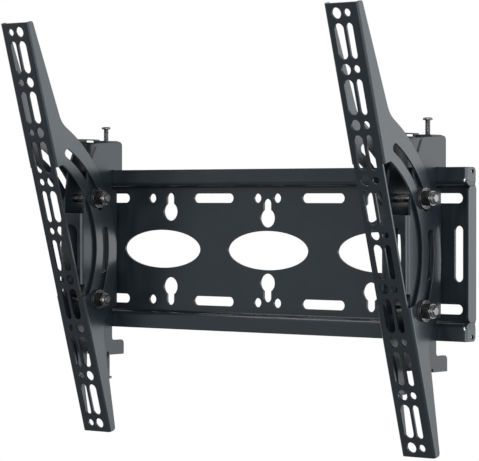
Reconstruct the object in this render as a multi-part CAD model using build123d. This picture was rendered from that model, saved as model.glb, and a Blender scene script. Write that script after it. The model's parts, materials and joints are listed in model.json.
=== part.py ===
"""Tilting wall bracket for a flat television: wall plate, two hook brackets and two tilting arms.

Millimetres. X runs along the wall to the right, Z up, and the wall is the plane Y = 0 with the
bracket in front of it at negative Y. The origin is the centre of the wall plate's back face.
"""
import os
from math import asin, cos, degrees, radians, sin, sqrt

from build123d import *

# Wall plate: one folded sheet with a rail along the top and one along the bottom
PLATE_LENGTH = 476.2
PLATE_HEIGHT = 155.8
PLATE_SHEET = 2.3
PLATE_BEND = 4.5
END_BEND = 2.8
END_GAP = 0.5
RAIL_DEPTH = 17.5
RAIL_LIP = 16.3
FLANGE_DEPTH = 14.2
FLANGE_CORNER = 5.0
EAR_SETBACK = 3.0
EAR_CORNER = 4.0
EAR_HOLE = 4.0
EAR_HOLE_DEPTH = 8.0
RELIEF_HOLE = 3.4

# Wall plate: holes for the wall screws, and the three ovals
FIXING_ROW = 50.0
FIXING_WIDTH = 9.0
INNER_SLOT_LENGTH = 50.0
INNER_SLOT_X = 66.8
END_SLOT_LENGTH = 48.0
END_SLOT_INSET = 38.3
UPRIGHT_SLOT_LENGTH = 50.6
UPRIGHT_SLOT_INSET = 18.5
OVAL_LENGTH = 98.0
OVAL_HEIGHT = 37.4
OVAL_PITCH = 132.7
KEYHOLE_HEAD = 18.0
KEYHOLE_NECK = 9.2
KEYHOLE_REACH = 13.8
MIDDLE_KEYHOLE_Z = 31.0
SIDE_KEYHOLE_Z = 36.8
SIDE_KEYHOLE_X = 122.0
PILOT_HOLE = 9.0
MIDDLE_PILOT_X = 12.0
SIDE_PILOT_X = 145.3

# Tilt: the arms turn about a line in front of the bracket, guided by two bolts in arc slots
PIVOT_DEPTH = 138.0
PIVOT_TO_FACE = 57.1
ARC_RADIUS = 107.5
BOLT_HEIGHT = 50.0
MAX_TILT = 16.4
REST_TILT = 16.4
STOP_ANGLE = 0.15
SPARE_ANGLE = 4.5

# Arms: one folded channel each, with the screw holes of the television
LEFT_ARM_INSET = 37.9
RIGHT_ARM_INSET = 46.9
ARM_WIDTH = 36.4
ARM_SHEET = 2.0
ARM_BEND = 3.0
ROW_PITCH = 50.0
ROW_COUNT = 9
TOP_ROW = 201.4
END_MARGIN = 9.0
COLUMN_PITCH = 11.5
LARGE_HOLE = 10.0
SMALL_HOLE = 7.0
FACE_SLOT_LENGTH = 32.0
END_DEPTH = 8.0
WAIST_DEPTH = 22.3
WAIST_HEIGHT = 80.0
BAND_REACH = 121.8
BAND_RADIUS = 144.0
BAND_SWEEP = 25.0
WINDOW_RADIUS = 94.0
WINDOW_HALF = 66.0
WINDOW_CORNER = 1.5
WINDOW_EDGE = 2.5
ARC_SLOT_WIDTH = 8.4

# Hook brackets: one folded sheet each, hung on the rails
HOOK_WIDTH = 29.4
HOOK_SHEET = 2.5
HOOK_BEND = 4.0
HANG_GAP = 0.2
RAIL_GAP = 0.3
BRIDGE_HALF = 35.0
BRIDGE_GAP = 3.1
BRIDGE_WINDOW_WIDTH = 19.0
BRIDGE_WINDOW_HALF = 24.0
CHEEK_WINDOW_HALF = 24.0
CHEEK_WINDOW_FRONT_WALL = 10.6
CHEEK_WINDOW_REAR_WALL = 15.4
CHEEK_WINDOW_CORNER = 5.0
CHEEK_REAR = 10.6
CHEEK_ROUND = 6.0
TRIM_ROUND = 1.0
HOOK_REAR = 2.8
HOOK_SHELF_GAP = 3.0
HOOK_ROUND = 2.0
FOOT_GAP = 13.6
FOOT_HEIGHT = 14.5
FOOT_REAR = 0.4
FOOT_CORNER = 4.0
TOE_HEIGHT = 21.0
TOE_WIDTH = 11.5
NOTCH = 3.0
NEAR_RISE = 28.6
NEAR_FRONT_ROUND = 5.0
NEAR_REAR_ROUND = 4.0
EAR_RISE = 2.5
EAR_REAR_STEP = 4.4
EAR_ROUND = 3.0
EAR_SLIT_DEPTH = 19.5
EAR_SLIT_LENGTH = 13.0
EAR_SLIT_WIDTH = 2.0
EAR_SLIT_RAIL = 1.2

# Front corners of a side plate, from the middle outwards: height, and clearance to the tilted arm
FRONT_CORNERS = ((48.5, 4.5), (65.0, 3.9), (76.0, 1.1), (88.0, 3.0))
TOP_CORNER_DROP = 2.3
TOP_CORNER_GAP = 6.4
EAR_CORNER_GAP = 6.8
TOE_GAP = 2.0

# Tabs of the hook bracket, with the threads of the two M5 screws
TOP_TAB_RISE = 0.7
TAB_END = 8.0
TAB_CORNER = 6.0
TOP_TAB_FRONT = 24.0
TOP_TAB_REAR = 6.0
BOTTOM_TAB_FRONT = 21.0
BOTTOM_TAB_REAR = 3.5
ADJUSTER_DEPTH = 10.4
LOCK_DEPTH = 8.6

# M5 screws
M5 = 5.0
M5_HEAD = 8.8
M5_HEAD_HEIGHT = 2.4
M5_HEAD_ROUND = 1.4
M5_CLEARANCE = 0.05
M5_POINT = 0.8
RECESS_SPAN = 4.6
RECESS_WIDTH = 1.1
RECESS_DEPTH = 1.3
ADJUSTER_LENGTH = 55.0
ADJUSTER_GAP = 0.05
RIGHT_ADJUSTER_LIFT = 1.5
LOCK_LENGTH = 50.0
LOCK_OPEN_GAP = 0.8

# M8 tilt bolts, nuts and washers
M8 = 8.0
M8_HOLE = 8.2
M8_FLATS = 13.0
M8_HEAD_HEIGHT = 5.3
M8_CHAMFER = 0.8
NUT_HEX_HEIGHT = 7.4
NUT_COLLAR_HEIGHT = 1.6
NUT_COLLAR_RADIUS = 5.6
NUT_COLLAR_BEVEL = 1.0
BOLT_PROUD = 1.6
WASHER_RADIUS = 9.8
WASHER_THICKNESS = 1.6
FRICTION_RADIUS = 9.4
FRICTION_THICKNESS = 1.6
WASHER_BORE = 8.4
SLIDE_GAP = 0.05

# Derived sizes
HALF_LENGTH = PLATE_LENGTH / 2
LEFT_ARM_X = LEFT_ARM_INSET - HALF_LENGTH
RIGHT_ARM_X = HALF_LENGTH - RIGHT_ARM_INSET
END_SLOT_X = HALF_LENGTH - END_SLOT_INSET
UPRIGHT_SLOT_X = HALF_LENGTH - UPRIGHT_SLOT_INSET
LIP_TOP = PLATE_HEIGHT / 2
SHELF_UNDER = LIP_TOP - RAIL_LIP
SHELF_TOP = SHELF_UNDER + PLATE_SHEET
WEB_FLAT = SHELF_TOP - PLATE_BEND
LIP_FLAT = SHELF_UNDER + PLATE_BEND
FOLD_START = HALF_LENGTH - END_BEND
BOLT_ANGLE = degrees(asin(BOLT_HEIGHT / ARC_RADIUS))
BOLT_DEPTH = PIVOT_DEPTH - sqrt(ARC_RADIUS**2 - BOLT_HEIGHT**2)
BOTTOM_ROW = TOP_ROW - ROW_PITCH * (ROW_COUNT - 1)
CHEEK_IN = HOOK_WIDTH / 2 - HOOK_SHEET
ARM_INSIDE = ARM_WIDTH / 2 - ARM_SHEET
INNER_GAP = ARM_INSIDE - HOOK_WIDTH / 2
HEAD_SEAT = ARM_WIDTH / 2 + SLIDE_GAP + FRICTION_THICKNESS + WASHER_THICKNESS
LIP_FRONT_GAP = RAIL_DEPTH + RAIL_GAP
LIP_BACK_GAP = RAIL_DEPTH - PLATE_SHEET - RAIL_GAP
FOOT_TOP = LIP_TOP + FOOT_GAP
FOOT_BOTTOM = FOOT_TOP + FOOT_HEIGHT
TOE_BOTTOM = FOOT_BOTTOM + TOE_HEIGHT
NEAR_TOP = LIP_TOP + NEAR_RISE
EAR_TOP = NEAR_TOP + EAR_RISE
TOP_CORNER = NEAR_TOP - TOP_CORNER_DROP


def folded(points, sheet, bend):
    """Section of a folded sheet whose middle line runs through the points."""
    return trace(FilletPolyline(*points, radius=bend - sheet / 2), sheet)


def outline(corners):
    """Closed outline from (depth from the wall, height, corner radius), seen from the side."""
    points = [(-depth, height) for depth, height, _ in corners]
    radii = [radius for _, _, radius in corners]
    return make_face(FilletPolyline(*points, radius=radii, close=True))


def side_slab(face, x_start, width):
    """A side outline given a width along X, from x_start to the right."""
    return extrude(Plane.YZ.offset(x_start) * face, width)


def front_cut(sketch, depth):
    """A cutter along Y, through everything less than depth from Y = 0 on either side."""
    return extrude(Plane.XZ * sketch, depth, both=True)


def mirror_z(shape):
    return mirror(shape, Plane.XY)


def keyhole(head_z):
    """Round opening for a screw head, with a narrow neck away from the plate's middle."""
    head = Pos(0, head_z) * Circle(KEYHOLE_HEAD / 2)
    neck_end = Pos(0, head_z + KEYHOLE_REACH) * Circle(KEYHOLE_NECK / 2)
    neck = Pos(0, head_z + KEYHOLE_REACH / 2) * Rectangle(KEYHOLE_NECK, KEYHOLE_REACH)
    return head + neck_end + neck


def upper_fixings():
    """The openings of the plate's upper half: slots, keyholes and round holes."""
    inner_slot = SlotOverall(INNER_SLOT_LENGTH, FIXING_WIDTH)
    end_slot = SlotOverall(END_SLOT_LENGTH, FIXING_WIDTH)
    pilot = Circle(PILOT_HOLE / 2)
    cuts = keyhole(MIDDLE_KEYHOLE_Z)
    for side in (-1, 1):
        cuts += Pos(side * INNER_SLOT_X, FIXING_ROW) * inner_slot
        cuts += Pos(side * END_SLOT_X, FIXING_ROW) * end_slot
        cuts += Pos(side * MIDDLE_PILOT_X, FIXING_ROW) * pilot
        cuts += Pos(side * SIDE_PILOT_X, FIXING_ROW) * pilot
        cuts += Pos(side * SIDE_KEYHOLE_X, 0) * keyhole(SIDE_KEYHOLE_Z)
    return cuts


def plate_openings():
    """Cutter for every opening in the plate's web."""
    upper = front_cut(upper_fixings(), RAIL_DEPTH)
    upright = Rot(0, 0, 90) * SlotOverall(UPRIGHT_SLOT_LENGTH, FIXING_WIDTH)
    middle = Ellipse(OVAL_LENGTH / 2, OVAL_HEIGHT / 2)
    for side in (-1, 1):
        middle += Pos(side * OVAL_PITCH, 0) * Ellipse(OVAL_LENGTH / 2, OVAL_HEIGHT / 2)
        middle += Pos(side * UPRIGHT_SLOT_X, 0) * upright
    return upper + mirror_z(upper) + front_cut(middle, RAIL_DEPTH)


def plate_rails():
    """Web, shelves and lips, folded from one sheet, with the flat of each shelf running on to the ends."""
    web = -PLATE_SHEET / 2
    shelf = SHELF_UNDER + PLATE_SHEET / 2
    lip = -RAIL_DEPTH + PLATE_SHEET / 2
    half = [(lip, LIP_TOP), (lip, shelf), (web, shelf)]
    path = half + [(y, -z) for y, z in reversed(half)]
    section = folded(path, PLATE_SHEET, PLATE_BEND)
    rails = extrude(Plane.YZ * section, FOLD_START, both=True)
    flat = side_slab(outline([
        (PLATE_BEND, SHELF_UNDER, 0),
        (PLATE_BEND, SHELF_TOP, 0),
        (RAIL_DEPTH - PLATE_BEND, SHELF_TOP, 0),
        (RAIL_DEPTH - PLATE_BEND, SHELF_UNDER, 0),
    ]), -HALF_LENGTH, PLATE_LENGTH)
    return rails + flat + mirror_z(flat)


def end_flanges():
    """The web's two ends, folded forward between the shelves, with rounded front corners."""
    x = HALF_LENGTH - PLATE_SHEET / 2
    web = -PLATE_SHEET / 2
    top = SHELF_UNDER - END_GAP
    path = [(-x, -FLANGE_DEPTH), (-x, web), (x, web), (x, -FLANGE_DEPTH)]
    fold = extrude(folded(path, PLATE_SHEET, END_BEND), top, both=True)
    side = outline([
        (0, WEB_FLAT, 0),
        (END_BEND, WEB_FLAT, 0),
        (END_BEND, top, 0),
        (FLANGE_DEPTH, top, FLANGE_CORNER),
        (FLANGE_DEPTH, -top, FLANGE_CORNER),
        (END_BEND, -top, 0),
        (END_BEND, -WEB_FLAT, 0),
        (0, -WEB_FLAT, 0),
    ])
    return fold & side_slab(side, -HALF_LENGTH, PLATE_LENGTH)


def lip_ears():
    """The ends of the upper lip, folded back over the shelf towards the wall."""
    x = HALF_LENGTH - PLATE_SHEET / 2
    lip = -RAIL_DEPTH + PLATE_SHEET / 2
    bottom = SHELF_TOP + END_GAP
    path = [(-x, -EAR_SETBACK), (-x, lip), (x, lip), (x, -EAR_SETBACK)]
    fold = Pos(0, 0, bottom) * extrude(folded(path, PLATE_SHEET, END_BEND), LIP_TOP - bottom)
    side = outline([
        (EAR_SETBACK, bottom, 0),
        (EAR_SETBACK, LIP_TOP, EAR_CORNER),
        (RAIL_DEPTH, LIP_TOP, 0),
        (RAIL_DEPTH, LIP_FLAT, 0),
        (RAIL_DEPTH - PLATE_BEND, LIP_FLAT, 0),
        (RAIL_DEPTH - PLATE_BEND, bottom, 0),
    ])
    hole = Pos(-EAR_HOLE_DEPTH, LIP_TOP - EAR_CORNER) * Circle(EAR_HOLE / 2)
    return fold & side_slab(side - hole, -HALF_LENGTH, PLATE_LENGTH)


def relief_holes():
    """Round reliefs where the end folds meet those of the upper rail: in the web and in the lip."""
    pair = Pos(-FOLD_START, 0) * Circle(RELIEF_HOLE / 2) + Pos(FOLD_START, 0) * Circle(RELIEF_HOLE / 2)
    web = Pos(0, 0, WEB_FLAT) * front_cut(pair, PLATE_BEND)
    lip = Pos(0, -RAIL_DEPTH, LIP_FLAT) * front_cut(pair, PLATE_BEND)
    return web + lip


def wall_plate():
    ears = lip_ears()
    reliefs = relief_holes()
    plate = plate_rails() + end_flanges() + ears + mirror_z(ears)
    return plate - reliefs - mirror_z(reliefs) - plate_openings()


def arm_side():
    """Side view of an upright arm, with the pivot at the origin and the wall at positive Y."""
    top = TOP_ROW + END_MARGIN
    bottom = BOTTOM_ROW - END_MARGIN
    strip = make_face(Polyline(
        (PIVOT_TO_FACE, top),
        (PIVOT_TO_FACE + END_DEPTH, top),
        (PIVOT_TO_FACE + WAIST_DEPTH, WAIST_HEIGHT),
        (PIVOT_TO_FACE + WAIST_DEPTH, -WAIST_HEIGHT),
        (PIVOT_TO_FACE + END_DEPTH, bottom),
        (PIVOT_TO_FACE, bottom),
        close=True,
    ))
    round_part = Pos(BAND_REACH - BAND_RADIUS, 0) * Circle(BAND_RADIUS)
    behind_face = Pos(PIVOT_TO_FACE, 0) * Rectangle(
        BAND_RADIUS, 2 * BAND_RADIUS, align=(Align.MIN, Align.CENTER))
    side = strip + (round_part & behind_face)
    rear = [v for v in side.vertices() if v.X > PIVOT_TO_FACE + ARM_SHEET]
    side = fillet([v for v in rear if abs(v.Y) < TOP_ROW], BAND_SWEEP)
    rear = [v for v in side.vertices() if v.X > PIVOT_TO_FACE + ARM_SHEET]
    return fillet([v for v in rear if abs(v.Y) > TOP_ROW], ARM_BEND)


def arm_window():
    """The D-shaped opening behind the face, open to the front so that it cuts the fold as well."""
    front = PIVOT_TO_FACE - ARM_SHEET
    limits = Pos(front, 0) * Rectangle(
        WINDOW_RADIUS, 2 * WINDOW_HALF, align=(Align.MIN, Align.CENTER))
    window = Circle(WINDOW_RADIUS) & limits
    return fillet([v for v in window.vertices() if v.X > PIVOT_TO_FACE], WINDOW_CORNER)


def arc_slots():
    """Upper and lower arc slot, ending where the tilt bolts stop the arm."""
    start = BOLT_ANGLE - MAX_TILT - SPARE_ANGLE
    size = 2 * MAX_TILT + SPARE_ANGLE + STOP_ANGLE
    slot = SlotArc(CenterArc((0, 0), ARC_RADIUS, start, size), ARC_SLOT_WIDTH)
    return slot + mirror(slot, Plane.XZ)


def face_holes(large_side):
    """Two columns of round holes and slots for the television's screws."""
    cuts = Sketch()
    for side in (-1, 1):
        width = LARGE_HOLE if side == large_side else SMALL_HOLE
        x = side * COLUMN_PITCH / 2
        for row in range(ROW_COUNT):
            cuts += Pos(x, TOP_ROW - ROW_PITCH * row) * Circle(width / 2)
        for row in range(ROW_COUNT - 1):
            middle = TOP_ROW - ROW_PITCH * (row + 0.5)
            cuts += Pos(x, middle) * Rot(0, 0, 90) * SlotOverall(FACE_SLOT_LENGTH, width)
    return cuts


def tv_arm(x, large_side):
    """Folded channel with deep, slotted flanges, placed at its rest tilt."""
    half = (ARM_WIDTH - ARM_SHEET) / 2
    face = PIVOT_TO_FACE + ARM_SHEET / 2
    section = folded([(-half, BAND_REACH), (-half, face), (half, face), (half, BAND_REACH)],
                     ARM_SHEET, ARM_BEND)
    reach = TOP_ROW + END_MARGIN
    channel = extrude(section, reach, both=True)
    side = arm_side() - arc_slots()
    arm = channel & side_slab(side, -ARM_WIDTH / 2, ARM_WIDTH)
    for start in (-ARM_WIDTH, ARM_WIDTH / 2 - WINDOW_EDGE):
        arm -= side_slab(arm_window(), start, ARM_WIDTH / 2 + WINDOW_EDGE)
    holes = Pos(0, PIVOT_TO_FACE, 0) * front_cut(face_holes(large_side), 2 * ARM_SHEET)
    return Pos(x, -PIVOT_DEPTH, 0) * Rot(REST_TILT, 0, 0) * (arm - holes)


def clear_depth(height):
    """Depth from the wall that the tilting arm's channel leaves free at a height, at either tilt limit."""
    tilt = radians(MAX_TILT)
    return PIVOT_DEPTH - (PIVOT_TO_FACE + ARM_SHEET + abs(height) * sin(tilt)) / cos(tilt)


def front_corner(height, gap, radius):
    """Corner of a side plate's front edge, gap behind the tilted arm."""
    return clear_depth(height) - gap, height, radius


def cheek_outline(top_corners):
    """Side plate of the hook bracket, from the given top corners round to its front edge."""
    shelf_hook = SHELF_TOP + HOOK_SHELF_GAP
    under_shelf = SHELF_UNDER - HOOK_SHELF_GAP
    toe_front = clear_depth(TOE_BOTTOM) - TOE_GAP
    toe_rear = toe_front - TOE_WIDTH
    rear = [
        (HOOK_REAR, shelf_hook, TRIM_ROUND),
        (LIP_BACK_GAP, shelf_hook, TRIM_ROUND),
        (LIP_BACK_GAP, LIP_TOP + HANG_GAP, 0),
        (LIP_FRONT_GAP, LIP_TOP + HANG_GAP, 0),
        (LIP_FRONT_GAP, under_shelf, TRIM_ROUND),
        (CHEEK_REAR, under_shelf, TRIM_ROUND),
        (CHEEK_REAR, -under_shelf, TRIM_ROUND),
        (LIP_FRONT_GAP, -under_shelf, TRIM_ROUND),
        (LIP_FRONT_GAP, -FOOT_TOP, NOTCH),
        (FOOT_REAR, -FOOT_TOP, FOOT_CORNER),
        (FOOT_REAR, -FOOT_BOTTOM, TRIM_ROUND),
        (toe_rear - NOTCH, -FOOT_BOTTOM, 0),
        (toe_rear - NOTCH, -FOOT_BOTTOM + NOTCH, TRIM_ROUND),
        (toe_rear, -FOOT_BOTTOM + NOTCH, TRIM_ROUND),
        (toe_rear, -TOE_BOTTOM, HOOK_ROUND),
        (toe_front, -TOE_BOTTOM, FOOT_CORNER),
        front_corner(-TOP_CORNER, TOP_CORNER_GAP, CHEEK_ROUND),
    ]
    lower = [front_corner(-height, gap, CHEEK_ROUND) for height, gap in reversed(FRONT_CORNERS)]
    upper = [front_corner(height, gap, CHEEK_ROUND) for height, gap in FRONT_CORNERS]
    return outline(top_corners + rear + lower + upper)


def near_cheek():
    """Side plate on the nut side, which carries the two screw tabs."""
    return cheek_outline([
        front_corner(TOP_CORNER, TOP_CORNER_GAP, NEAR_FRONT_ROUND),
        (HOOK_REAR, NEAR_TOP, NEAR_REAR_ROUND),
    ])


def far_cheek():
    """Side plate on the head side, taller, with a slit below its top edge."""
    cheek = cheek_outline([
        front_corner(EAR_TOP, EAR_CORNER_GAP, EAR_ROUND),
        (HOOK_REAR + EAR_REAR_STEP, EAR_TOP, EAR_ROUND),
        (HOOK_REAR, EAR_TOP - EAR_REAR_STEP, HOOK_ROUND),
    ])
    slit_height = EAR_TOP - EAR_SLIT_RAIL - EAR_SLIT_WIDTH / 2
    return cheek - Pos(-EAR_SLIT_DEPTH, slit_height) * SlotOverall(EAR_SLIT_LENGTH, EAR_SLIT_WIDTH)


def cheek_cuts():
    """Window and bolt holes of a side plate."""
    front = clear_depth(FRONT_CORNERS[0][0]) - FRONT_CORNERS[0][1] - CHEEK_WINDOW_FRONT_WALL
    rear = CHEEK_REAR + CHEEK_WINDOW_REAR_WALL
    corner = min(CHEEK_WINDOW_CORNER, (front - rear) / 3)
    cuts = Pos(-(front + rear) / 2, 0) * RectangleRounded(front - rear, 2 * CHEEK_WINDOW_HALF, corner)
    for side in (-1, 1):
        cuts += Pos(-BOLT_DEPTH, side * BOLT_HEIGHT) * Circle(M8_HOLE / 2)
    return cuts


def bridge():
    """Front web that joins the two side plates, with an upright opening."""
    half = (HOOK_WIDTH - HOOK_SHEET) / 2
    front = BRIDGE_GAP - clear_depth(BRIDGE_HALF) + HOOK_SHEET / 2
    rear = front + 2 * HOOK_BEND
    section = folded([(-half, rear), (-half, front), (half, front), (half, rear)], HOOK_SHEET, HOOK_BEND)
    web = extrude(section, BRIDGE_HALF, both=True)
    window = Rot(0, 0, 90) * SlotOverall(2 * BRIDGE_WINDOW_HALF, BRIDGE_WINDOW_WIDTH)
    return web - Pos(0, front, 0) * front_cut(window, HOOK_BEND)


def tab(top, front, rear, hole_depth, bend_up):
    """Tab bent in from the near side plate, with the thread of an M5 screw."""
    x = (HOOK_WIDTH - HOOK_SHEET) / 2
    level = top - HOOK_SHEET / 2
    leg = level + (2 * HOOK_BEND if bend_up else -2 * HOOK_BEND)
    section = folded([(-TAB_END, level), (x, level), (x, leg)], HOOK_SHEET, HOOK_BEND)
    bent = Pos(0, -(front + rear) / 2, 0) * extrude(Plane.XZ * section, (front - rear) / 2, both=True)
    plan = Pos(-TAB_END, -(front + rear) / 2) * RectangleRounded(
        2 * HOOK_WIDTH, front - rear, TAB_CORNER, align=(Align.MIN, Align.CENTER))
    thread = Pos(0, -hole_depth) * Circle(M5 / 2 + M5_CLEARANCE)
    return bent & extrude(plan - thread, 2 * TOE_BOTTOM, both=True)


def hook_bracket(x):
    near = side_slab(near_cheek() - cheek_cuts(), CHEEK_IN, HOOK_SHEET)
    far = side_slab(far_cheek() - cheek_cuts(), -HOOK_WIDTH / 2, HOOK_SHEET)
    top = tab(NEAR_TOP + TOP_TAB_RISE, TOP_TAB_FRONT, TOP_TAB_REAR, ADJUSTER_DEPTH, False)
    bottom = tab(HOOK_SHEET - FOOT_BOTTOM, BOTTOM_TAB_FRONT, BOTTOM_TAB_REAR, LOCK_DEPTH, True)
    return Pos(x, 0, 0) * (near + far + bridge() + top + bottom)


def hexagon(height, both_ends):
    """Hexagon along +X with its corners turned off at the far end, or at both."""
    corner = M8_FLATS / sqrt(3)
    blank = extrude(Plane.YZ * RegularPolygon(M8_FLATS / 2, 6, major_radius=False), height)
    start = corner - M8_CHAMFER if both_ends else corner
    turned = make_face(Polyline(
        (0, 0),
        (0, start),
        (M8_CHAMFER, corner),
        (height - M8_CHAMFER / 2, corner),
        (height, corner - M8_CHAMFER),
        (height, 0),
        close=True,
    ))
    return blank & revolve(turned, Axis.X)


def tilt_bolt():
    """Hexagon bolt along X: head on the left, point through the nut on the right."""
    tip = HEAD_SEAT + NUT_HEX_HEIGHT + NUT_COLLAR_HEIGHT + BOLT_PROUD
    length = tip + HEAD_SEAT
    shank = extrude(Plane.YZ * Circle(M8 / 2), length)
    shank = chamfer(shank.edges().sort_by(Axis.X)[-1], M8_CHAMFER)
    head = mirror(hexagon(M8_HEAD_HEIGHT, False), Plane.YZ)
    return Pos(-HEAD_SEAT, 0, 0) * (shank + head)


def tilt_nut():
    """Lock nut along X: hexagon with a domed collar."""
    collar = make_face(Polyline(
        (0, 0),
        (0, NUT_COLLAR_RADIUS),
        (NUT_HEX_HEIGHT + NUT_COLLAR_HEIGHT / 2, NUT_COLLAR_RADIUS),
        (NUT_HEX_HEIGHT + NUT_COLLAR_HEIGHT, NUT_COLLAR_RADIUS - NUT_COLLAR_BEVEL),
        (NUT_HEX_HEIGHT + NUT_COLLAR_HEIGHT, 0),
        close=True,
    ))
    bore = extrude(Plane.YZ * Circle(M8 / 2), 2 * M8_FLATS)
    return Pos(HEAD_SEAT, 0, 0) * (hexagon(NUT_HEX_HEIGHT, True) + revolve(collar, Axis.X) - bore)


def ring(x, radius, thickness):
    """Flat washer that starts at x."""
    return side_slab(Circle(radius) - Circle(WASHER_BORE / 2), x, thickness)


def friction_washers():
    """Thin washers on both faces of both arm flanges."""
    inner = HOOK_WIDTH / 2
    outer = ARM_WIDTH / 2 + SLIDE_GAP
    inner_thickness = INNER_GAP - SLIDE_GAP
    near = [ring(inner, WASHER_RADIUS, inner_thickness), ring(outer, FRICTION_RADIUS, FRICTION_THICKNESS)]
    return near + [mirror(washer, Plane.YZ) for washer in near]


def pan_screw(length):
    """Pan head screw with a cross recess: head up, underside of the head at Z = 0."""
    head = extrude(Circle(M5_HEAD / 2), M5_HEAD_HEIGHT)
    head = fillet(head.edges().sort_by(Axis.Z)[-1], M5_HEAD_ROUND)
    slot = Pos(0, 0, M5_HEAD_HEIGHT) * Box(RECESS_SPAN, RECESS_WIDTH, 2 * RECESS_DEPTH)
    shank = Pos(0, 0, -length) * extrude(Circle(M5 / 2), length)
    shank = chamfer(shank.edges().sort_by(Axis.Z)[0], M5_POINT)
    return head + shank - slot - Rot(0, 0, 90) * slot


def adjusting_screw(x, lift):
    """Screw in the top tab, with its point on the upper shelf, raised by lift."""
    under_head = SHELF_TOP + ADJUSTER_GAP + lift + ADJUSTER_LENGTH
    return Pos(x, -ADJUSTER_DEPTH, under_head) * pan_screw(ADJUSTER_LENGTH)


def security_screw(x):
    """Screw in the bottom tab, head down, with its point just below the lower lip."""
    under_head = -LIP_TOP - LOCK_OPEN_GAP - LOCK_LENGTH
    return Pos(x, -LOCK_DEPTH, under_head) * Rot(180, 0, 0) * pan_screw(LOCK_LENGTH)


def tilt_hardware(side, x):
    """Bolt, nut and washers at both bolt places of one arm, by node name."""
    parts = {}
    for place, height in (("upper", BOLT_HEIGHT), ("lower", -BOLT_HEIGHT)):
        spot = Pos(x, -BOLT_DEPTH, height)
        washer_x = ARM_WIDTH / 2 + SLIDE_GAP + FRICTION_THICKNESS
        washer = ring(washer_x, WASHER_RADIUS, WASHER_THICKNESS)
        name = f"{side}_{place}"
        parts[f"tilt_bolt_{name}"] = spot * tilt_bolt()
        parts[f"tilt_nut_{name}"] = spot * tilt_nut()
        parts[f"nut_washer_{name}"] = spot * washer
        parts[f"head_washer_{name}"] = spot * mirror(washer, Plane.YZ)
        parts[f"friction_washers_{name}"] = Compound([spot * one for one in friction_washers()])
    return parts


def bracket_side(side, x, large_side, adjuster_lift):
    """Everything that hangs on the rails at one side, by node name."""
    parts = {
        f"hook_bracket_{side}": hook_bracket(x),
        f"tv_arm_{side}": tv_arm(x, large_side),
        f"adjusting_screw_{side}": adjusting_screw(x, adjuster_lift),
        f"security_screw_{side}": security_screw(x),
    }
    parts.update(tilt_hardware(side, x))
    return parts


def main():
    os.makedirs("parts", exist_ok=True)
    parts = {"wall_plate": wall_plate()}
    parts.update(bracket_side("left", LEFT_ARM_X, 1, 0))
    parts.update(bracket_side("right", RIGHT_ARM_X, -1, RIGHT_ADJUSTER_LIFT))
    for name, solid in parts.items():
        solid.label = name
        export_step(solid, f"parts/{name}.step")


main()
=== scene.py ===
import json
from math import cos, pi, radians, sin

import bmesh
import bpy
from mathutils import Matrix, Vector


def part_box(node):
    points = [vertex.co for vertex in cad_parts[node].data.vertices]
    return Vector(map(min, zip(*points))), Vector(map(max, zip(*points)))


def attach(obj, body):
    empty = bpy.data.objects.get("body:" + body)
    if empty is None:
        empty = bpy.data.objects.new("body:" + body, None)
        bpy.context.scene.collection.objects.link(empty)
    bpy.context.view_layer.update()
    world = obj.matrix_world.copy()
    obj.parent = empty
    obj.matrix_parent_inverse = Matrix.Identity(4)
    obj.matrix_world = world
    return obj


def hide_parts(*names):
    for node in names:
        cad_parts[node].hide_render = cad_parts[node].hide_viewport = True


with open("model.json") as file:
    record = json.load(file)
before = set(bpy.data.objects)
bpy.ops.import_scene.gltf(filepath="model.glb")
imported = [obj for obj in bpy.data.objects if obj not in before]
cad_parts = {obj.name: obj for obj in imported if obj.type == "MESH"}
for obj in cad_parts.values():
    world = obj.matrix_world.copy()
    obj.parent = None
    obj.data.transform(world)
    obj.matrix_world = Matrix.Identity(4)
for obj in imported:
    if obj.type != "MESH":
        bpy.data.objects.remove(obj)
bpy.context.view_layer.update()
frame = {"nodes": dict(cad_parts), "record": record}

# Camera, fitted to the photograph: place and reach in metres, lens and sensor in millimetres
CAMERA_PLACE = (1.4512, -1.8256, 0.0505)
CAMERA_TURN = radians(39.17)
CAMERA_RISE = radians(-0.77)
CAMERA_LENS = 183.58
CAMERA_SENSOR = 36.0
CAMERA_REACH = 30.0

# Studio lamps, which all face the origin: place, width and height in metres, and power in watts
LAMPS = {
    "window_right": ((2.64, 1.88, -0.2), 2.6, 1.9, 27.5),
    "key_front": ((1.75, -2.15, 0.3), 3.0, 1.3, 42.0),
    "side_strip": ((2.8, 0.1, 0.25), 0.4, 1.5, 9.0),
    "top_left": ((-1.8, -0.4, 2.0), 1.4, 0.8, 7.0),
}
LAMP_SPREAD = radians(110)

# World: its level as light on the object, and its level as background and in reflections
WORLD_LIGHT = 0.6
WORLD_SHOWN = 1.0

# Floor: its disc, the size and detail of its mottling, its two shades and its roughness
FLOOR_LEVEL = -1.7
FLOOR_RADIUS = 6.0
FLOOR_SIDES = 96
FLOOR_CLOUD = (0.4, 3.0)
FLOOR_SHADES = ((0.60, 0.60, 0.60), (0.62, 0.62, 0.62))
FLOOR_ROUGHNESS = 0.8

# Noise of all finishes: the part of its range over which one shade turns into the other
SHADE_START = 0.3
SHADE_END = 0.7

# Rays that look for neighbouring faces where an edge is drawn round
EDGE_SAMPLES = 4

# Powder coat: size and detail of each noise, strength and depth of each bump, radius of the edges,
# the two shades and the tint of the reflections
COAT_CLOUD = (0.03, 3.0)
COAT_PEEL = (0.0011, 2.0)
COAT_GRAIN = (0.0004, 2.0)
COAT_PEEL_BUMP = (0.10, 0.0002)
COAT_GRAIN_BUMP = (0.12, 0.0001)
COAT_EDGE = 0.0007
COAT_SHADES = ((0.0056, 0.0083, 0.0110), (0.0077, 0.0106, 0.0137))
COAT_TINT = (0.87, 0.95, 1.0, 1.0)

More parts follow.
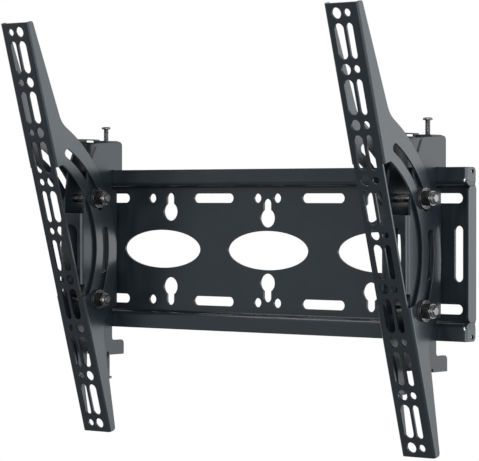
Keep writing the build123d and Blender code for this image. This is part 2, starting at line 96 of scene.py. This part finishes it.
# Powder coat on each kind of sheet: name, lowest and highest roughness, and specular level
COATS = {
    "wall_plate": ("powder_coat_plate", (0.25, 0.33), 0.34),
    "hook_bracket": ("powder_coat_hook", (0.28, 0.36), 0.26),
    "tv_arm": ("powder_coat_arm", (0.25, 0.33), 0.34),
}

# Dark zinc of the fasteners
ZINC_CLOUD = (0.004, 4.0)
ZINC_GRAIN = (0.0003, 2.0)
ZINC_GRAIN_BUMP = (0.15, 0.00005)
ZINC_EDGE = 0.0003
ZINC_SHADES = ((0.07, 0.07, 0.072), (0.13, 0.13, 0.132))
ZINC_ROUGHNESS = (0.20, 0.32)

# Plastic of the friction washers and lock rings
PLASTIC_GRAIN = (0.0005, 3.0)
PLASTIC_GRAIN_BUMP = (0.2, 0.00005)
PLASTIC_SHADES = ((0.014, 0.014, 0.015), (0.022, 0.022, 0.023))
PLASTIC_ROUGHNESS = (0.5, 0.65)

# Screws and bolts: radius and pitch of the thread, height of the head, and length of the bolt's thread
M5_RADIUS = 0.0025
M5_PITCH = 0.0008
M5_HEAD_HEIGHT = 0.0024
M8_RADIUS = 0.004
M8_PITCH = 0.00125
M8_HEAD_HEIGHT = 0.0053
M8_THREAD_LENGTH = 0.030

# Threads: depth as a share of the pitch, points round the rod, rows in a pitch, run-out in pitches
THREAD_DEPTH_SHARE = 0.5
THREAD_SIDES = 24
THREAD_STEPS = 5
THREAD_RUNOUT = 1.2

# Head and thread: how far the thread goes into the head, how far past the head's seat the old shank
# starts, and the distance under which two points are one
THREAD_SINK = 0.0003
SHANK_START = 0.000024
MERGE_DISTANCE = 1e-7

# Lock rings of the nuts: radii, depth, how far they stand proud, and the faces over their rounding
RING_INNER = 0.00405
RING_OUTER = 0.0046
RING_DEPTH = 0.0006
RING_PROUD = 0.00015
RING_STEPS = 8

# Edges of the added pieces stay sharp above this angle
SMOOTH_ANGLE = radians(40)

# Box round the front half of each window in the hook brackets' side plates: its depths from the wall
# and half its height, and how much further back that half stands here
CHEEK_WINDOW_MIDDLE = 0.0365
CHEEK_WINDOW_FRONT = 0.0471
CHEEK_WINDOW_HALF = 0.0241
CHEEK_WINDOW_SHIFT = 0.0078

# Weld fills at the wall plate's corners: depth from the wall and height of each point, thickness,
# distance from the plate's end, and rounding of the edges
CORNER_OUTLINE = (
    (0.0032, 0.0608),
    (0.0135, 0.0608),
    (0.0171, 0.0640),
    (0.0171, 0.0664),
    (0.0032, 0.0664),
)
CORNER_THICKNESS = 0.0022
CORNER_INSET = 0.00005
CORNER_BEVEL = 0.0003
CORNER_BEVEL_STEPS = 2


def node_adder(tree):
    """A function that adds a node to the tree, with its settings and the links into its sockets."""

    def add(kind, links=(), **values):
        node = tree.nodes.new(kind)
        for key, value in values.items():
            if hasattr(node, key):
                setattr(node, key, value)
            else:
                node.inputs[key.replace("_", " ").title()].default_value = value
        for socket, source in links:
            tree.links.new(source, node.inputs[socket])
        return node

    return add


def node_material(name):
    """A new material, its shader node, and two functions that add nodes and feed the shader."""
    material = bpy.data.materials.new(name)
    material.use_nodes = True
    tree = material.node_tree
    shader = tree.nodes["Principled BSDF"]

    def feed(socket, source):
        tree.links.new(source, shader.inputs[socket])

    return material, shader, node_adder(tree), feed


def noise(add, size, detail):
    """Noise with blobs of about the given size in metres."""
    place = add("ShaderNodeTexCoord").outputs["Object"]
    return add("ShaderNodeTexNoise", [("Vector", place)], scale=1.0 / size, detail=detail).outputs["Fac"]


def shade(add, source, low, high):
    """Colour that goes from low to high with the source."""
    node = add("ShaderNodeValToRGB", [("Fac", source)])
    first, last = node.color_ramp.elements
    first.position = SHADE_START
    first.color = (*low, 1.0)
    last.position = SHADE_END
    last.color = (*high, 1.0)
    return node.outputs["Color"]


def between(add, source, low, high):
    """Number that goes from low to high with the source."""
    return add("ShaderNodeMapRange", [("Value", source)], to_min=low, to_max=high).outputs["Result"]


def round_edges(add, radius):
    """Normal that draws sharp edges as if they had the given radius."""
    return add("ShaderNodeBevel", samples=EDGE_SAMPLES, radius=radius).outputs["Normal"]


def bump(add, height, strength, distance, normal=None):
    """Normal with small unevenness, on top of another normal where one is given."""
    links = [("Height", height)]
    if normal is not None:
        links.append(("Normal", normal))
    return add("ShaderNodeBump", links, strength=strength, distance=distance).outputs["Normal"]


def powder_coat(name, roughness, specular):
    """Near-black satin powder coat: fine orange peel, faint cloudiness, softly rounded edges."""
    material, shader, add, feed = node_material(name)
    grain = noise(add, *COAT_GRAIN)
    feed("Base Color", shade(add, noise(add, *COAT_CLOUD), *COAT_SHADES))
    feed("Roughness", between(add, grain, *roughness))
    shader.inputs["Specular IOR Level"].default_value = specular
    shader.inputs["Specular Tint"].default_value = COAT_TINT
    peel = bump(add, noise(add, *COAT_PEEL), *COAT_PEEL_BUMP, round_edges(add, COAT_EDGE))
    feed("Normal", bump(add, grain, *COAT_GRAIN_BUMP, peel))
    return material


def dark_zinc():
    """Dark plated steel: lighter and duller patches, a fine grain, softly rounded edges."""
    material, shader, add, feed = node_material("dark_zinc")
    cloud = noise(add, *ZINC_CLOUD)
    feed("Base Color", shade(add, cloud, *ZINC_SHADES))
    feed("Roughness", between(add, cloud, *ZINC_ROUGHNESS))
    shader.inputs["Metallic"].default_value = 1.0
    feed("Normal", bump(add, noise(add, *ZINC_GRAIN), *ZINC_GRAIN_BUMP, round_edges(add, ZINC_EDGE)))
    return material


def friction_plastic():
    """Matt black plastic with a faint moulded grain."""
    material, shader, add, feed = node_material("friction_plastic")
    grain = noise(add, *PLASTIC_GRAIN)
    feed("Base Color", shade(add, grain, *PLASTIC_SHADES))
    feed("Roughness", between(add, grain, *PLASTIC_ROUGHNESS))
    feed("Normal", bump(add, grain, *PLASTIC_GRAIN_BUMP))
    return material


def floor_paint():
    """Pale floor paint, very slightly mottled."""
    material, shader, add, feed = node_material("floor_paint")
    feed("Base Color", shade(add, noise(add, *FLOOR_CLOUD), *FLOOR_SHADES))
    shader.inputs["Roughness"].default_value = FLOOR_ROUGHNESS
    return material


def dress_nodes(materials):
    """Gives each CAD node the material of its kind, or else that of its slot in the record."""
    for part in frame["record"]["subparts"]:
        data = frame["nodes"][part["node"]].data
        kind = part["node"].removesuffix("_left").removesuffix("_right")
        data.materials.clear()
        data.materials.append(materials.get(kind, materials.get(part["material_slot"])))


def link(name, data):
    """A new object of the scene that holds the data."""
    made = bpy.data.objects.new(name, data)
    bpy.context.scene.collection.objects.link(made)
    return made


def add_piece(name, data, body):
    """A new piece that rides on a body."""
    piece = link(name, data)
    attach(piece, body)
    return piece


def finished(name, mesh, material):
    """Turns a built mesh into data with its material, smooth but for its sharp edges."""
    data = bpy.data.meshes.new(name)
    mesh.to_mesh(data)
    mesh.free()
    data.materials.append(material)
    data.shade_smooth()
    data.set_sharp_from_angle(angle=SMOOTH_ANGLE)
    return data


def shank_mesh(radius, pitch, plain, length):
    """Rod along +Z from 0 to length: plain at first, then a helical thread that fades out at the point."""
    depth = THREAD_DEPTH_SHARE * pitch
    rows = int((length - plain) / pitch * THREAD_STEPS)
    heights = [0.0] if plain else []
    heights += [plain + (length - plain) * row / rows for row in range(rows + 1)]
    mesh = bmesh.new()
    rings = []
    for height in heights:
        fade = min(1.0, (length - height) / (THREAD_RUNOUT * pitch))
        ring = []
        for side in range(THREAD_SIDES):
            share = side / THREAD_SIDES
            turn = (height / pitch - share) % 1.0
            groove = depth * abs(2.0 * turn - 1.0) if height > plain else 0.0
            r = radius - groove * fade - depth * (1.0 - fade)
            ring.append(mesh.verts.new((r * cos(2 * pi * share), r * sin(2 * pi * share), height)))
        rings.append(ring)
    for low, high in zip(rings, rings[1:]):
        for side in range(THREAD_SIDES):
            after = (side + 1) % THREAD_SIDES
            mesh.faces.new((low[side], low[after], high[after], high[side]))
    mesh.faces.new(rings[-1])
    mesh.faces.new(list(reversed(rings[0])))
    return mesh


def place_mesh(mesh, seat, along):
    """Turns a mesh made along +Z into the direction along, and moves it to seat."""
    turn = Vector((0, 0, 1)).rotation_difference(along)
    bmesh.ops.rotate(mesh, verts=mesh.verts, matrix=turn.to_matrix())
    bmesh.ops.translate(mesh, verts=mesh.verts, vec=seat)


def threaded_copy(node, body, material, seat, along, radius, pitch, plain, length):
    """Stands for a plain fastener: the node's own head, with a threaded shank from seat on."""
    mesh = shank_mesh(radius, pitch, plain, length + THREAD_SINK)
    place_mesh(mesh, seat - THREAD_SINK * along, along)
    head = bmesh.new()
    head.from_mesh(frame["nodes"][node].data)
    shank = [f for f in head.faces if (f.calc_center_median() - seat).dot(along) > SHANK_START]
    bmesh.ops.delete(head, geom=shank, context="FACES")
    bmesh.ops.remove_doubles(head, verts=head.verts, dist=MERGE_DISTANCE)
    spare = bpy.data.meshes.new("spare")
    head.to_mesh(spare)
    head.free()
    mesh.from_mesh(spare)
    bpy.data.meshes.remove(spare)
    name = f"threaded_{node}"
    piece = add_piece(name, finished(name, mesh, material), body)
    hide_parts(node)


def ring_mesh():
    """Lock ring of a nut round +Z, with a rounded face whose top is at Z = 0."""
    middle = (RING_INNER + RING_OUTER) / 2
    half = (RING_OUTER - RING_INNER) / 2
    mesh = bmesh.new()
    sections = []
    for side in range(2 * THREAD_SIDES):
        turn = pi * side / THREAD_SIDES
        section = []
        for step in range(RING_STEPS + 1):
            lean = pi * step / RING_STEPS
            r = middle - half * cos(lean)
            z = RING_PROUD * (sin(lean) - 1.0) if 0 < step < RING_STEPS else -RING_DEPTH
            section.append(mesh.verts.new((r * cos(turn), r * sin(turn), z)))
        sections.append(section)
    for first, second in zip(sections, sections[1:] + sections[:1]):
        for step in range(RING_STEPS):
            mesh.faces.new((first[step], second[step], second[step + 1], first[step + 1]))
    return mesh


def node_centre(node):
    """Middle of a node's box at rest."""
    low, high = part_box(node)
    return (Vector(low) + Vector(high)) / 2


def make_screws(side, metal):
    """Threads of the adjusting screw and the security screw of one side."""
    for name, body, up in (("adjusting_screw", "adjuster", 1), ("security_screw", "lock", -1)):
        node = f"{name}_{side}"
        low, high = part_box(node)
        seat = node_centre(node)
        seat.z = high[2] - M5_HEAD_HEIGHT if up > 0 else low[2] + M5_HEAD_HEIGHT
        length = high[2] - low[2] - M5_HEAD_HEIGHT
        along = Vector((0, 0, -up))
        threaded_copy(node, f"{body}_{side}", metal, seat, along, M5_RADIUS, M5_PITCH, 0.0, length)


def make_bolts(side, metal, plastic):
    """Threads of both tilt bolts of one side, and the lock rings of their nuts."""
    along = Vector((1, 0, 0))
    body = f"hook_{side}"
    for place in ("upper", "lower"):
        node = f"tilt_bolt_{side}_{place}"
        low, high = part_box(node)
        seat = node_centre(node)
        seat.x = low[0] + M8_HEAD_HEIGHT
        length = high[0] - seat.x
        plain = length - M8_THREAD_LENGTH
        threaded_copy(node, body, metal, seat, along, M8_RADIUS, M8_PITCH, plain, length)
        face = node_centre(node)
        face.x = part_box(f"tilt_nut_{side}_{place}")[1][0] + RING_PROUD
        ring = ring_mesh()
        place_mesh(ring, face, along)
        name = f"lock_ring_{side}_{place}"
        add_piece(name, finished(name, ring, plastic), body)


def set_back_windows(side):
    """Stands for a hook bracket whose side windows start further back, as the photograph shows."""
    node = f"hook_bracket_{side}"
    data = frame["nodes"][node].data.copy()
    for vertex in data.vertices:
        depth = -vertex.co.y
        if CHEEK_WINDOW_MIDDLE < depth < CHEEK_WINDOW_FRONT and abs(vertex.co.z) < CHEEK_WINDOW_HALF:
            vertex.co.y += CHEEK_WINDOW_SHIFT
    piece = add_piece(f"hook_plate_{side}", data, f"hook_{side}")
    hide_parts(node)


def weld_mesh(x, inward, up):
    """Prism over the corners' outline from x inwards, with rounded edges."""
    mesh = bmesh.new()
    outer = [mesh.verts.new((x, -depth, up * height)) for depth, height in CORNER_OUTLINE]
    inner = [mesh.verts.new((x + inward, -depth, up * height)) for depth, height in CORNER_OUTLINE]
    mesh.faces.new(outer)
    mesh.faces.new(inner)
    for point in range(len(outer)):
        before = point - 1
        mesh.faces.new((outer[before], outer[point], inner[point], inner[before]))
    bmesh.ops.recalc_face_normals(mesh, faces=mesh.faces)
    bmesh.ops.bevel(mesh, geom=mesh.edges, offset=CORNER_BEVEL, segments=CORNER_BEVEL_STEPS,
                    affect="EDGES")
    return mesh


def close_corners(material):
    """Weld fill where the folds of the wall plate meet at its four corners."""
    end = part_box("wall_plate")[1][0] - CORNER_INSET
    for side, out in (("left", -1), ("right", 1)):
        for level, up in (("upper", 1), ("lower", -1)):
            name = f"end_weld_{side}_{level}"
            mesh = weld_mesh(out * end, -out * CORNER_THICKNESS, up)
            add_piece(name, finished(name, mesh, material), "wall_plate")


def make_camera():
    """Camera that stands and looks as the photograph's did."""
    data = bpy.data.cameras.new("camera")
    data.lens = CAMERA_LENS
    data.sensor_width = CAMERA_SENSOR
    data.clip_end = CAMERA_REACH
    camera = link("camera", data)
    camera.location = CAMERA_PLACE
    level = cos(CAMERA_RISE)
    aim = Vector((-sin(CAMERA_TURN) * level, cos(CAMERA_TURN) * level, sin(CAMERA_RISE)))
    camera.rotation_euler = aim.to_track_quat("-Z", "Y").to_euler()
    bpy.context.scene.camera = camera


def make_floor():
    """Round floor below the object."""
    mesh = bmesh.new()
    bmesh.ops.create_circle(mesh, cap_ends=True, segments=FLOOR_SIDES, radius=FLOOR_RADIUS)
    data = bpy.data.meshes.new("floor")
    mesh.to_mesh(data)
    mesh.free()
    data.materials.append(floor_paint())
    floor = link("floor", data)
    floor.location = (0, 0, FLOOR_LEVEL)


def softbox(name, place, width, height, power):
    """Area lamp at place, facing the origin, not seen by the camera itself."""
    data = bpy.data.lights.new(name, "AREA")
    data.shape = "RECTANGLE"
    data.size = width
    data.size_y = height
    data.energy = power
    data.spread = LAMP_SPREAD
    lamp = link(name, data)
    lamp.location = place
    lamp.rotation_euler = (-Vector(place)).to_track_quat("-Z", "Z").to_euler()
    lamp.visible_camera = False


def make_world():
    """White for the camera, mirrors and glass; a softer level for the light that falls on the object."""
    world = bpy.data.worlds.new("studio")
    world.use_nodes = True
    bpy.context.scene.world = world
    tree = world.node_tree
    add = node_adder(tree)
    rays = add("ShaderNodeLightPath").outputs
    seen = add("ShaderNodeMath", [(0, rays["Is Camera Ray"]), (1, rays["Is Glossy Ray"])],
               operation="MAXIMUM")
    shown = add("ShaderNodeMath", [(0, seen.outputs[0]), (1, rays["Is Transmission Ray"])],
                operation="MAXIMUM")
    background = tree.nodes["Background"]
    background.inputs["Color"].default_value = (1.0, 1.0, 1.0, 1.0)
    strength = between(add, shown.outputs[0], WORLD_LIGHT, WORLD_SHOWN)
    tree.links.new(strength, background.inputs["Strength"])


def main():
    """Finishes for all nodes, the pieces that the scene adds, and the studio round them."""
    materials = {kind: powder_coat(*values) for kind, values in COATS.items()}
    materials["dark_zinc"] = dark_zinc()
    materials["friction_plastic"] = friction_plastic()
    dress_nodes(materials)
    for side in ("left", "right"):
        make_screws(side, materials["dark_zinc"])
        make_bolts(side, materials["dark_zinc"], materials["friction_plastic"])
        set_back_windows(side)
    close_corners(materials["wall_plate"])
    make_world()
    make_floor()
    for name, values in LAMPS.items():
        softbox(name, *values)
    make_camera()
    bpy.context.scene.view_settings.view_transform = "Standard"


main()
